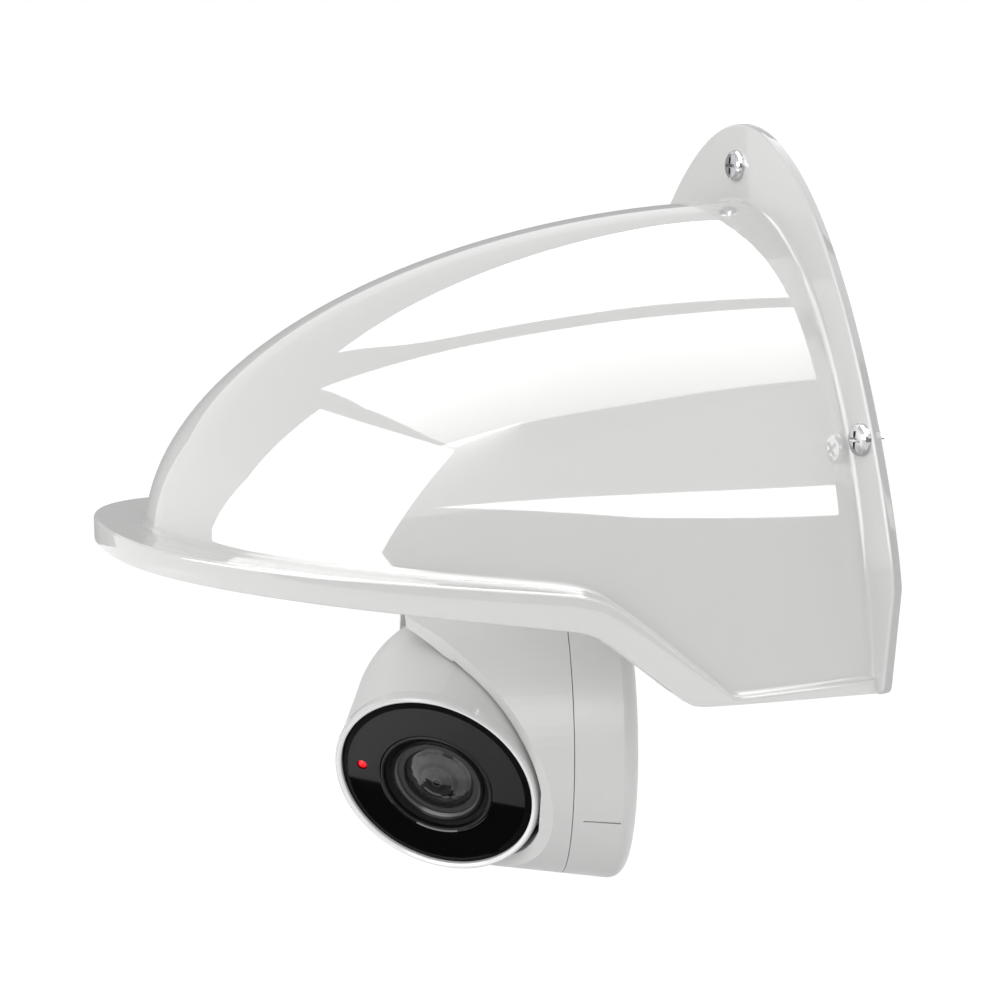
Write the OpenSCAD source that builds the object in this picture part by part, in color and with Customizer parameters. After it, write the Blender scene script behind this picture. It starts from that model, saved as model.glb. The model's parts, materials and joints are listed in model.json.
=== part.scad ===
// Turret security camera under a wall-mounted rain and sun hood.
// Frame: the wall is the plane y = 0, the front faces -Y, +X is to the right
// seen from the front, +Z is up. The origin is on the wall, midway between the
// two side screws of the hood. Millimetres.

/* [Hood] */
// How far the brim reaches out from the wall
brim_reach = 258.4; // [230:0.2:280]
// Half of the hood's width at its lower lip
brim_half_w = 106; // [100:0.5:109]
// How far the dome reaches out from the wall at the brim
dome_reach = 242; // [220:0.5:250]
// Half of the dome's width at its foot
dome_half_w = 103.5; // [98:0.5:104]
// Height of the dome's top above the side screws
dome_top = 82; // [70:0.5:90]
// Upward slope of the brim towards its nose, degrees
brim_slope = 6.5; // [0:0.5:10]
// Wall thickness of the moulding
shell_t = 3; // [2:0.1:4]

/* [Back flange] */
// Thickness of the flange that lies on the wall
flange_t = 4; // [3:0.1:5]
// Half width of the flange at its lower corners
flange_half_w = 114; // [111:0.5:116]
// Height of the flange's arched tab above the side screws
flange_top = 111.6; // [108:0.2:116]
// Distance of a side screw from the middle
side_screw_x = 91.5; // [90:0.1:92.5]
// Height of the tab screw above the side screws
tab_screw_z = 95.6; // [92:0.1:98]

/* [Turret] */
// Yaw of the turret on its bracket, degrees
turret_yaw = -18.5; // [-20:0.5:20]
// Turn of the cover about the turret axis, degrees
cover_pan = 67.4; // [-180:0.2:180]
// Tilt of the eyeball from the turret axis, degrees
eye_tilt = 67; // [0:1:67]
// Turn of the eyeball about its lens axis, degrees
eye_roll = 0; // [-90:1:90]
// Radius of the turret at its back
base_r = 63.9; // [62:0.1:65]
// Depth of the mounting base, up to the seam
base_h = 24.4; // [23:0.1:26]
// Length of the base and the cover together
cover_end = 85; // [80:0.5:88]
// Distance of the eyeball's centre from the turret's back
eye_z = 59.5; // [59:0.1:60]
// Radius of the eyeball
eye_r = 46.5; // [46:0.1:46.5]

/* [Face] */
// Radius of the black front window
window_r = 38.9; // [37:0.1:39]
// Distance of the window's surface from the eyeball's centre
face_h = 40; // [39:0.1:41]
// Radius of the opening in the window for the lens
lens_open_r = 22.8; // [20:0.1:24]
// Distance of the status lamp from the lens axis
led_r = 30.3; // [28:0.1:31]
// Direction of the status lamp around the lens axis, degrees
led_ang = 88; // [0:1:360]

/* [Hidden] */
$fn = 96;
e = 0.01;

// ---- placement of the turret's bodies ----
pivot_y = -32.7;            // bracket pivot, distance from the wall
turret_z = -125;            // height of the turret axis
pivot_back = 20;            // pivot to the turret's back, along the turret axis
draft = 0.138;              // taper of the turret, mm of radius per mm
arm_z = -84;                // top face of the bracket arm
running = 0.1;              // running clearance

// Turret frame: local z is the turret axis pointing forward, local y is up.
module in_turret() {
  translate([0, pivot_y, turret_z])
    rotate([0, 0, turret_yaw])
      translate([0, -pivot_back, 0])
        rotate([90, 0, 0])
          children();
}

// Cover frame: local y points to the long side of the cover.
module in_cover() {
  in_turret() rotate([0, 0, cover_pan]) children();
}

// Yoke frame: origin at the eyeball's centre, local x is the tilt axis,
// local z is the lens axis.
module in_yoke() {
  in_cover() translate([0, 0, eye_z]) rotate([eye_tilt, 0, 0]) children();
}

// Eyeball frame: the yoke frame turned about the lens axis.
module in_eye() {
  in_yoke() rotate([0, 0, eye_roll]) children();
}

function turret_r(z) = base_r - draft * z;

// ---- hood: shape functions ----
back_y = 2.2;               // the shell's back edge lies inside the flange
arch_z = -90.8;             // level where the dome's arch is widest
nose_z = -36;               // level where the dome reaches furthest out
n_half = 24;                // sections on each side of the nose
n_arc = 16;                 // points along each meridian
tan_slope = tan(brim_slope);

function clamp01(v) = min(1, max(0, v));
function soft_min(a, b, r) = (a + b) / 2 - sqrt(pow((a - b) / 2, 2) + r * r);
function soft_max(a, b, r) = (a + b) / 2 + sqrt(pow((a - b) / 2, 2) + r * r);

// Half width of the dome's arch at height z, and its reach at height z.
// t is how far the surface lies inside the outer one.
function arch_w(z, t) =
  (dome_half_w - t) * pow(1 - pow(clamp01((z - arch_z) / (dome_top - t - arch_z)), 1.5), 1 / 2.2);
function arch_y(z, t) =
  (dome_reach - back_y - t) * pow(1 - pow(clamp01((z - nose_z) / (dome_top - t - nose_z)), 2.05), 1 / 1.9);

// Height of the brim's plane, of the lip's top edge and of its lower edge,
// at distance y from the wall.
function brim_z(y) = -57 + tan_slope * y;
function lip_top(y) = max(-85.5, soft_min(brim_z(y), -83.2 + 0.82 * (y - 65.2), 2.5));
function lip_low(y) =
  let (front = brim_z(y) - 9 - 4 * pow(clamp01((brim_reach - y) / 130), 1.5))
  soft_max(-91 + 0.043 * y, soft_min(front, -83.3 + 0.83 * (y - 84.3), 2), 1);

// Outline of the brim in plan: reach and half width for parameter u, 0 at the
// wall and 1 at the nose.
function plan_a(u) = 90 * pow(u, 1.6);
function brim_y(u, t) = back_y + (brim_reach - back_y - t) * pow(sin(plan_a(u)), 2 / 3.2);
function brim_x(u, t) = (brim_half_w - t) * pow(max(0, cos(plan_a(u))), 2 / 2.45);

// The dome's foot keeps pace with the brim's outline.
ledge_share = 1 - (dome_reach - back_y) / (brim_reach - back_y);
function foot_y(y) = back_y + (y - back_y) * (1 - ledge_share * pow(y / brim_reach, 4));
function foot_a(y) =
  asin(clamp01(pow(clamp01((foot_y(y) - back_y) / (dome_reach - back_y)), 2.95 / 2)));

function meridian(u, side, t, drop) =
  let (yo = brim_y(u, 0))
  let (a = foot_a(yo))
  let (zf = lip_top(foot_y(yo)) - drop)
  let (zt = dome_top - t)
  [for (j = [1:n_arc])
    let (z = zf + (zt - zf) * cos(90 * j / n_arc))
    [side * arch_w(z, t) * cos(a), -back_y - arch_y(z, t) * pow(sin(a), 2 / 2.95), z]];

// One closed section of the moulding: dome outside, ledge, lip, ledge
// underside, dome inside.
function section(u, side) =
  let (yo = brim_y(u, 0), xo = side * brim_x(u, 0))
  let (yi = brim_y(u, shell_t), xi = side * brim_x(u, shell_t))
  let (outer = meridian(u, side, 0, 0))
  let (inner = meridian(u, side, shell_t, shell_t))
  let (f = outer[n_arc - 1])
  let (g = [f[0] + 0.35 * (xo - f[0]), f[1] + 0.35 * (-yo - f[1]), f[2]])
  concat(
    [for (j = [0:n_arc - 2]) outer[j]],
    [[f[0], f[1], f[2] + 1.6]],
    [[g[0], g[1], lip_top(-g[1])]],
    [[xo + 0.25 * (xi - xo), -yo - 0.25 * (-yo + yi), lip_top(yo)]],
    [[xo, -yo, lip_top(yo) - 1]],
    [[xo, -yo, lip_low(yo)]],
    [[xi, -yi, lip_low(yi)]],
    [[xi, -yi, lip_top(yi) - shell_t]],
    [for (j = [n_arc - 1:-1:0]) inner[j]]);

module hood_shell() {
  k_max = 2 * n_half;
  rows = [for (k = [0:k_max])
    let (side = k <= n_half ? 1 : -1)
    let (u = k <= n_half ? k / n_half : (k_max - k) / n_half)
    section(u, side)];
  m = len(rows[0]);
  top_o = (k_max + 1) * m;
  top_i = top_o + 1;
  points = concat([for (r = rows) for (p = r) p],
    [[0, -back_y, dome_top], [0, -back_y, dome_top - shell_t]]);
  sides = [for (k = [0:k_max - 1]) for (j = [0:m - 2]) for (h = [0, 1])
    h == 0
      ? [k * m + j + 1, (k + 1) * m + j, k * m + j]
      : [k * m + j + 1, (k + 1) * m + j + 1, (k + 1) * m + j]];
  fans = [for (k = [0:k_max - 1]) for (h = [0, 1])
    h == 0
      ? [k * m, (k + 1) * m, top_o]
      : [(k + 1) * m + m - 1, k * m + m - 1, top_i]];
  // Each back end is a strip between the outer and the inner line.
  strip = concat(
    [[top_i, m - 1, 0], [top_i, 0, top_o]],
    [for (j = [0:m / 2 - 2]) for (h = [0, 1])
      h == 0 ? [m - 1 - j, m - 2 - j, j + 1] : [m - 1 - j, j + 1, j]]);
  far_strip = [for (t = strip) [for (i = [2:-1:0]) t[i] < m ? t[i] + k_max * m : t[i]]];
  polyhedron(points = points, faces = concat(sides, fans, strip, far_strip), convexity = 8);
}

// Flange outline: a pointed arch with the tab at its top.
tab_n = 40;
function flange_x(z, w, top) = w * pow(1 - pow(clamp01((z + 50.5) / (top + 50.5)), 1.2), 1 / 1.95);
function flange_side(in) = [for (i = [0:tab_n])
  let (z = -50.5 + (flange_top - in + 50.5) * (1 - pow(1 - i / tab_n, 2)))
  [flange_x(z, flange_half_w - in, flange_top - in), z]];

module flange_outline(in) {
  s = flange_side(in);
  polygon(concat(
    [[106.5 - in, -91 + in], [110 - in, -89 + in]],
    s,
    [for (i = [tab_n - 1:-1:0]) [-s[i][0], s[i][1]]],
    [[-110 + in, -89 + in], [-106.5 + in, -91 + in]]));
}

opening_t = 3.4;            // the opening lies just inside the shell

module flange_opening() {
  w = [for (i = [0:32])
    let (z = -95 + (dome_top - opening_t + 95) * sin(90 * i / 32))
    [arch_w(z, opening_t), z]];
  polygon(concat(w, [for (i = [31:-1:0]) [-w[i][0], w[i][1]]]));
}

module flat_on_wall(y0, t) {
  translate([0, -y0, 0]) rotate([90, 0, 0]) linear_extrude(height = t) children();
}

strap_t = 2;                // thickness of the bracket's sheet steel
strap_r = 6.5;              // half of the strap's height

module strap_shape(r) {
  square([2 * side_screw_x, 2 * r], center = true);
  for (s = [-1, 1]) translate([s * side_screw_x, 0]) circle(r = r);
}

module hood_flange() {
  difference() {
    hull() {
      flat_on_wall(0, flange_t - 1.4) flange_outline(0);
      flat_on_wall(flange_t - 0.1, 0.1) flange_outline(1.3);
    }
    flat_on_wall(-1, flange_t + 2) flange_opening();
    flat_on_wall(-1, 1 + strap_t) strap_shape(strap_r + 0.2);
    for (s = [-1, 1]) translate([s * side_screw_x, 1, 0]) rotate([90, 0, 0])
      cylinder(r = screw_hole_r, h = 8);
    translate([0, 1, tab_screw_z]) rotate([90, 0, 0]) cylinder(r = screw_hole_r, h = 8);
  }
}

module hood() {
  color("white") {
    hood_flange();
    hood_shell();
  }
}

// ---- wall fixings ----
module pan_head_screw(head_r, head_h, shank_r, shank_l) {
  // Head above z = 0, shank below, with a cross recess.
  difference() {
    union() {
      rotate_extrude()
        polygon([[0, 0], [head_r, 0], [head_r, head_h * 0.35], [head_r * 0.93, head_h * 0.62],
          [head_r * 0.75, head_h * 0.84], [head_r * 0.45, head_h * 0.97], [0, head_h]]);
      translate([0, 0, -shank_l]) cylinder(r = shank_r, h = shank_l + e);
    }
    for (a = [0, 90])
      rotate([0, 0, a]) translate([0, 0, head_h])
        cube([head_r * 1.1, head_r * 0.24, head_h * 1.1], center = true);
  }
}

screw_hole_r = 2.4;         // holes for the wall screws
thread_r = 2.1;             // thread of the wall screws
thread_l = 4.2;             // how far the thread stands out behind the flange

module wall_screw(x, z) {
  // Self-tapping screw: smooth neck in the flange, thinner thread in the wall.
  color("silver") translate([x, -flange_t, z]) rotate([90, 0, 0]) {
    pan_head_screw(6, 3.3, 2.3, flange_t);
    translate([0, 0, -flange_t - thread_l]) cylinder(r = thread_r, h = thread_l + e);
  }
}

module wall_screw_top() { wall_screw(0, tab_screw_z); }
module wall_screw_left() { wall_screw(-side_screw_x, 0); }
module wall_screw_right() { wall_screw(side_screw_x, 0); }

arm_w = 40;                 // width of the bracket's upright and arm
arm_l = 30;                 // how far the arm's wide part reaches out
boss_r = 12;                // round end of the arms at the pivot
bolt_r = 3;                 // pivot bolt

module wall_bracket() {
  low = arm_z - strap_t;
  color("gainsboro") difference() {
    union() {
      flat_on_wall(0, strap_t) strap_shape(strap_r);
      translate([-arm_w / 2, -strap_t, low]) cube([arm_w, strap_t, -low]);
      translate([-arm_w / 2, -arm_l, low]) cube([arm_w, arm_l, strap_t]);
      translate([0, pivot_y, low]) cylinder(r = boss_r, h = strap_t);
      translate([-boss_r, pivot_y, low]) cube([2 * boss_r, 10, strap_t]);
      // Gussets at both sides of the arm.
      for (x = [-arm_w / 2, arm_w / 2 - strap_t]) translate([x, 0, 0]) rotate([90, 0, 90])
        linear_extrude(height = strap_t)
          polygon([[0, low], [-arm_l, low], [-arm_l, arm_z + 4], [-strap_t, arm_z + 40], [0, arm_z + 40]]);
    }
    for (s = [-1, 1]) translate([s * side_screw_x, 1, 0]) rotate([90, 0, 0])
      cylinder(r = screw_hole_r, h = 8);
    translate([0, pivot_y, low - 1]) cylinder(r = bolt_r + running, h = strap_t + 2);
  }
}

swivel_t = 3;               // thickness of the swivel arm

module pivot_bolt() {
  color("silver") translate([0, pivot_y, 0]) {
    translate([0, 0, arm_z - 8.5]) cylinder(r = bolt_r, h = 8.5 + swivel_t + 3 * running);
    translate([0, 0, arm_z + swivel_t + 2 * running]) difference() {
      cylinder(r = 5.6, h = 3.5);
      translate([0, 0, 1.5]) cylinder(r = 2.9, h = 3, $fn = 6);
    }
  }
}

module pivot_nut() {
  color("silver") translate([0, pivot_y, arm_z - 7]) difference() {
    cylinder(r = 5.8, h = 5, $fn = 6);
    translate([0, 0, -1]) cylinder(r = bolt_r, h = 7);
  }
}

// ---- swivel body ----
plate_t = 3;                // thickness of the swivel plate
plate_r = 24;               // radius of the swivel plate
gasket_t = 1;               // thickness of the gasket under the base
inlet_r = 12;               // hole in the swivel plate for the cable grommet
base_screw_r = 17.5;        // pitch radius of the base's screws
base_screw_l = 11;          // length of the base's screws under their heads
plate_back = -gasket_t - plate_t;

module at_base_screws() {
  for (i = [0:2]) rotate([0, 0, 150 + 120 * i]) translate([base_screw_r, 0, 0]) children();
}

module swivel_arm() {
  // Flat arm welded to the back of the swivel plate.
  reach = pivot_back + plate_back;
  color("gainsboro") translate([0, pivot_y, arm_z + running]) rotate([0, 0, turret_yaw]) difference() {
    union() {
      cylinder(r = boss_r, h = swivel_t);
      translate([-boss_r, -reach, 0]) cube([2 * boss_r, reach, swivel_t]);
      // Ribs at the weld.
      for (x = [-10, 8]) translate([x, -reach, 1]) cube([2, 4, 4]);
    }
    translate([0, 0, -1]) cylinder(r = bolt_r + running, h = swivel_t + 2);
  }
}

module swivel_plate() {
  neck_w = 28;
  neck_low = 16;
  neck_top = arm_z + 5.6 - turret_z;
  color("gainsboro") in_turret() difference() {
    union() {
      translate([0, 0, plate_back]) cylinder(r = plate_r, h = plate_t);
      translate([-neck_w / 2, neck_low, plate_back]) cube([neck_w, neck_top - neck_low, plate_t]);
    }
    translate([0, 0, plate_back - 1]) {
      at_base_screws() cylinder(r = 2.2, h = plate_t + 2);
      cylinder(r = inlet_r, h = plate_t + 2);
    }
  }
}

module base_gasket() {
  color("dimgray") in_turret() translate([0, 0, -gasket_t]) difference() {
    cylinder(r = plate_r - 0.5, h = gasket_t);
    translate([0, 0, -1]) {
      at_base_screws() cylinder(r = 2.6, h = gasket_t + 2);
      cylinder(r = 13, h = gasket_t + 2);
    }
  }
}

module base_screw(i) {
  color("silver") in_turret() rotate([0, 0, 150 + 120 * i])
    translate([base_screw_r, 0, plate_back]) rotate([180, 0, 0]) pan_head_screw(3.6, 1.8, 2, base_screw_l);
}

module base_screw_1() { base_screw(0); }
module base_screw_2() { base_screw(1); }
module base_screw_3() { base_screw(2); }

bear_r = 46;                // bore that the cover turns in
base_wall = 3;              // wall thickness of the base
ledge_z = 18;               // ledge that the cover's ring turns under
ledge_top = 22;

module mount_base() {
  fillet = 6;
  slot_a = -22;
  slot_z = 6.5;
  slot_l = 14;
  back_r = turret_r(fillet) - fillet;
  color("whitesmoke") in_turret() difference() {
    union() {
      rotate_extrude() polygon(concat(
        [[10, 0]],
        [for (i = [0:8]) let (a = 90 * i / 8)
          [back_r + fillet * sin(a), fillet - fillet * cos(a)]],
        [[turret_r(base_h), base_h], [turret_r(base_h) - base_wall, base_h],
          [turret_r(ledge_top) - base_wall, ledge_top], [bear_r + running, ledge_top],
          [bear_r + running, ledge_z], [turret_r(ledge_z) - base_wall, ledge_z],
          [back_r + 2.2, 6], [back_r - 0.6, base_wall], [10, base_wall]]));
      // Bosses for the screws.
      at_base_screws() translate([0, 0, 2]) cylinder(r = 4.2, h = 7);
    }
    at_base_screws() translate([0, 0, -1]) cylinder(r = 2, h = 9);
    // Parting slot of the side cable knock-out.
    rotate([0, 0, slot_a]) translate([turret_r(slot_z + slot_l) - 0.7, -0.35, slot_z])
      cube([5, 0.7, slot_l]);
  }
}

module cable_grommet() {
  color("dimgray") in_turret() rotate_extrude() polygon([
    [3.5, -3.4], [11.8, -3.4], [11.8, -1.2], [9.8, -0.4], [9.8, 3.4], [11.8, 3.4],
    [11.8, 5.4], [6, 5.4], [3.5, 7]]);
}

// ---- pan body ----
cut_slope = 41;             // slope of the cover's slanted opening, degrees
cut_low = 35.8;             // where the opening's low edge lies on the axis
cavity_r = 50;              // room for the yoke behind the eyeball

module eye_collar(grow) {
  // The eyeball's front, used to keep the cover's lip clear of it.
  rotate_extrude() polygon([
    [0, -2], [45.5 + grow, -2], [45.5 + grow, 9.7], [41.7 + grow, 36.4],
    [41.7 + grow, face_h + 1.2 + grow], [0, face_h + 1.2 + grow]]);
}

eye_bore = 47.1;            // bore around the eyeball
rear_bore = 42;             // opening through the cover's spigot
spigot_z = 17.8;            // back end of the spigot
lock_z = 38;                // lock screw, distance from the turret's back
lock_r = 1.6;

module pan_cover() {
  z0 = base_h + 0.3;
  low = eye_z - sqrt(cavity_r * cavity_r - rear_bore * rear_bore);
  high = eye_z + 8.4;
  color("whitesmoke") in_cover() difference() {
    union() {
      rotate_extrude() polygon([
        [0, z0], [turret_r(z0), z0], [turret_r(cover_end - 1), cover_end - 1],
        [turret_r(cover_end) - 0.8, cover_end], [0, cover_end]]);
      translate([0, 0, spigot_z]) cylinder(r = bear_r, h = z0 - spigot_z + e);
    }
    rotate_extrude() polygon(concat(
      [[0, spigot_z - 1], [rear_bore, spigot_z - 1]],
      [for (i = [0:12]) let (z = low + (high - low) * i / 12)
        [sqrt(cavity_r * cavity_r - (z - eye_z) * (z - eye_z)), z]],
      [[eye_bore, high], [eye_bore, cover_end + 10], [0, cover_end + 10]]));
    // Slanted opening.
    translate([0, -55, cut_low]) rotate([cut_slope, 0, 0]) translate([-80, -40, 0]) cube([160, 200, 90]);
    // Room for the eyeball's front at full tilt.
    for (a = [65, 68.5]) translate([0, 0, eye_z]) rotate([a, 0, 0]) eye_collar(0.9);
    // Room for the clip behind the yoke.
    intersection() {
      translate([-9.6, 0, eye_z]) rotate([0, 90, 0]) cylinder(r = 52, h = 19.2);
      translate([-20, 0, 26]) cube([40, 60, 24.2]);
    }
    // Bearings of the tilt axis.
    translate([-50.8, 0, eye_z]) rotate([0, 90, 0]) cylinder(r = 3.05, h = 101.6);
    // Tapped hole of the lock screw.
    translate([-turret_r(lock_z) - 2, 0, lock_z]) rotate([0, 90, 0]) cylinder(r = lock_r, h = 20);
  }
}

module pan_retainer() {
  color("gray") in_cover() translate([0, 0, spigot_z - 3]) difference() {
    cylinder(r = 50, h = 3);
    translate([0, 0, -1]) cylinder(r = rear_bore, h = 5);
    for (i = [0:3]) rotate([0, 0, 45 + 90 * i]) translate([44, 0, -1]) cylinder(r = 1, h = 5);
  }
}

module lock_screw() {
  color("silver") in_cover() translate([0.8 - turret_r(lock_z), 0, lock_z]) rotate([0, 90, 0])
    difference() {
      cylinder(r = lock_r, h = 7);
      translate([0, 0, -e]) cylinder(r = 0.9, h = 2, $fn = 6);
    }
}

// ---- tilt body ----
yoke_in = 46.9;
yoke_out = 49.2;

module tilt_yoke() {
  color("dimgray") in_yoke() difference() {
    union() {
      intersection() {
        difference() {
          sphere(r = yoke_out);
          sphere(r = yoke_in);
        }
        union() {
          translate([0, 0, -60]) cylinder(r = 23, h = 40);
          translate([-60, -7, -60]) cube([120, 14, 60]);
          translate([-60, 0, 0]) rotate([0, 90, 0]) cylinder(r = 7, h = 120);
        }
      }
      // Trunnion pins.
      for (s = [0, 180]) rotate([0, 0, s]) translate([48.2, 0, 0]) rotate([0, 90, 0])
        cylinder(r = 3, h = 2.4);
    }
    translate([0, 0, -60]) cylinder(r = 6.05, h = 30);
  }
}

// ---- roll body: the eyeball ----
split_h = -20;              // parting plane of the eyeball
ball_t = 2.6;               // wall thickness of the eyeball
stem_end = -50.8;           // back end of the stem that the eyeball rolls on

function ball_arc(r, h0, h1, n) = [for (i = [0:n])
  let (a0 = acos(h0 / r), a1 = acos(h1 / r))
  let (a = a0 + (a1 - a0) * i / n)
  [r * sin(a), r * cos(a)]];

module eye_front_shell() {
  color("whitesmoke") in_eye() rotate_extrude() polygon(concat(
    ball_arc(eye_r, split_h, 9.7, 14),
    [[41.7, 36.4], [34, 36.4], [34, 34.6], [38.9, 34.6], [43, 9]],
    ball_arc(eye_r - ball_t, 8, split_h, 10)));
}

module eye_rear_shell() {
  color("whitesmoke") in_eye() difference() {
    union() {
      rotate_extrude() polygon(concat(
        ball_arc(eye_r, -eye_r + 0.0001, split_h, 14),
        ball_arc(eye_r - ball_t, split_h, -eye_r + ball_t + 0.0001, 14)));
      translate([0, 0, stem_end + 1.4]) cylinder(r = 6, h = 6);
      translate([0, 0, stem_end]) cylinder(r = 4.6, h = 6);
    }
    translate([0, 0, stem_end - 1]) cylinder(r = 3.2, h = 12);
  }
}

module shell_seal() {
  r = sqrt(pow(eye_r - ball_t, 2) - split_h * split_h) - 1.6;
  color("black") in_eye() translate([0, 0, split_h]) rotate_extrude()
    translate([r, 0]) circle(r = 1, $fn = 24);
}

module roll_clip() {
  color("silver") in_eye() translate([0, 0, stem_end]) difference() {
    cylinder(r = 8.5, h = 1.4);
    translate([0, 0, -1]) cylinder(r = 4.65, h = 4);
  }
}

module bezel_ring() {
  color("white") in_eye() rotate_extrude() polygon([
    [39.1, 36.4], [41.7, 36.4], [41.6, face_h - 0.4], [41.2, face_h + 0.5], [40.6, face_h + 0.9],
    [39.8, face_h + 0.8], [39.1, face_h + 0.2]]);
}

module window_gasket() {
  color("black") in_eye() translate([0, 0, 36.4]) difference() {
    cylinder(r = 38.6, h = 1.2);
    translate([0, 0, -1]) cylinder(r = 35, h = 4);
  }
}

module front_window() {
  color("black") in_eye() difference() {
    rotate_extrude() polygon([
      [lens_open_r, face_h - 2.4], [window_r, face_h - 2.4], [window_r, face_h - 0.9],
      [window_r - 2.6, face_h], [lens_open_r + 0.5, face_h], [lens_open_r, face_h - 0.5]]);
    rotate([0, 0, led_ang]) translate([led_r, 0, face_h - 4]) cylinder(r = 2.1, h = 6);
  }
}

module lens_ring() {
  color("black") in_eye() rotate_extrude() polygon([
    [16.6, 34], [lens_open_r - 0.1, 34], [lens_open_r - 0.1, face_h - 0.3],
    [lens_open_r - 0.7, face_h + 0.1], [lens_open_r - 1.3, face_h - 0.3],
    [lens_open_r - 1.6, face_h - 1.6], [19.4, face_h - 2], [18.9, face_h - 1.4],
    [18.2, face_h - 1.4], [16.6, face_h - 3.2]]);
}

module lens_barrel() {
  color("black") in_eye() difference() {
    union() {
      translate([0, 0, 20]) cylinder(r = 16.5, h = 16.4);
      translate([0, 0, 12]) cylinder(r = 9, h = 9);
    }
    translate([0, 0, 30]) cylinder(r = 14.4, h = 8);
    translate([0, 0, 26]) cylinder(r1 = 5, r2 = 12, h = 4 + e);
    translate([0, 0, 11]) cylinder(r = 5, h = 16);
  }
}

module front_lens() {
  r = 14.3;
  edge_z = 34.2;
  half = 36;                // half angle of the domed face
  bow = r / sin(half);
  color("skyblue") in_eye() rotate_extrude() polygon(concat(
    [[0, 31.6], [r, 31.6], [r, edge_z]],
    [for (i = [1:10]) let (a = half * (1 - i / 10))
      [bow * sin(a), edge_z + bow * (cos(a) - cos(half))]]));
}

module rear_lens() {
  color("skyblue") in_eye() rotate_extrude() polygon([
    [0, 22], [4.9, 22], [4.9, 24.6], [4.4, 25.2], [2.6, 25.7], [0, 25.9]]);
}

ircut_step = 8;             // from the filter to the clear window beside it

module lens_holder() {
  color("dimgray") in_eye() difference() {
    union() {
      translate([0, 0, 3.6]) cylinder(r = 13, h = 12.4);
      translate([-15, -8, 3.6]) cube([30, 16, 7.4]);
    }
    translate([0, 0, 12]) cylinder(r = 9.05, h = 5);
    translate([0, 0, 2]) cylinder(r = 5, h = 12);
    translate([-16, -5.1, 6.4]) cube([32, 10.2, 2.2]);
    translate([-5, -5, 3]) cube([10, 10, 2]);
  }
}

module ircut_slider() {
  color("dimgray") in_eye() translate([0, 0, 6.5]) difference() {
    translate([-4.8, -5, 0]) cube([17.6, 10, 2]);
    for (x = [0, ircut_step]) translate([x, 0, -1]) cylinder(r = 3.4, h = 4);
  }
}

module ircut_filter() {
  color("teal") in_eye() translate([0, 0, 6.5]) cylinder(r = 3.4, h = 2);
}

module status_led() {
  color("red") in_eye() rotate([0, 0, led_ang]) translate([led_r, 0, 0]) {
    translate([0, 0, 32.2]) cylinder(r = 1.9, h = face_h - 33.2);
    translate([0, 0, face_h - 1]) rotate_extrude()
      polygon([[0, 0], [1.9, 0], [1.7, 0.6], [1.1, 1.05], [0, 1.2]]);
  }
}

module ir_board() {
  color("seagreen") in_eye() translate([0, 0, 30.6]) difference() {
    cylinder(r = 35.5, h = 1.6);
    translate([0, 0, -1]) cylinder(r = 17.2, h = 4);
  }
}

module ir_led(a) {
  color("ghostwhite") in_eye() rotate([0, 0, a]) translate([27.5, 0, 32.2]) {
    translate([-3, -3, 0]) cube([6, 6, 1.2]);
    translate([0, 0, 1.2]) cylinder(r1 = 2.8, r2 = 1.8, h = 1.6);
  }
}

module ir_led_1() { ir_led(led_ang - 90); }
module ir_led_2() { ir_led(led_ang + 90); }

module sensor_board() {
  color("seagreen") in_eye() translate([0, 0, 2]) difference() {
    cylinder(r = 24, h = 1.6);
    for (i = [0:3]) rotate([0, 0, 45 + 90 * i]) translate([20, 0, -1]) cylinder(r = 1.6, h = 4);
  }
}

module image_sensor() {
  color("slategray") in_eye() translate([-4, -3, 3.6]) cube([8, 6, 1.1]);
}

module main_board() {
  color("seagreen") in_eye() {
    translate([0, 0, -12]) cylinder(r = 34, h = 1.6);
    for (i = [0:3]) rotate([0, 0, 45 + 90 * i]) translate([20, 0, -12]) cylinder(r = 1.5, h = 15.4);
    translate([-9, -9, -10.4]) cube([18, 18, 2]);
  }
}

module heat_sink() {
  color("silver") in_eye() {
    translate([-14, -11, -8.4]) cube([28, 22, 2.4]);
    for (i = [0:5]) translate([-13 + 5 * i, -11, -6.2]) cube([1.2, 22, 7]);
  }
}

hood();
wall_bracket();
wall_screw_top();
wall_screw_left();
wall_screw_right();
pivot_bolt();
pivot_nut();
swivel_arm();
swivel_plate();
mount_base();
base_gasket();
base_screw_1();
base_screw_2();
base_screw_3();
cable_grommet();
pan_cover();
pan_retainer();
lock_screw();
tilt_yoke();
eye_front_shell();
eye_rear_shell();
shell_seal();
roll_clip();
bezel_ring();
window_gasket();
front_window();
lens_ring();
lens_barrel();
front_lens();
rear_lens();
lens_holder();
status_led();
ir_board();
ir_led_1();
ir_led_2();
sensor_board();
image_sensor();
main_board();
heat_sink();
ircut_slider();
ircut_filter();
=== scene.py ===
"""Turret security camera under a wall-mounted rain and sun hood.

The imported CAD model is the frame. This script gives every CAD node a procedural
material, stands a finely rounded moulding in for the faceted hood, and sets up
the studio. Lengths named *_MM are millimetres, everything else is in metres.
"""
import json
import math

import bmesh
import bpy
import numpy as np
from mathutils import Matrix, Vector


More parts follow.
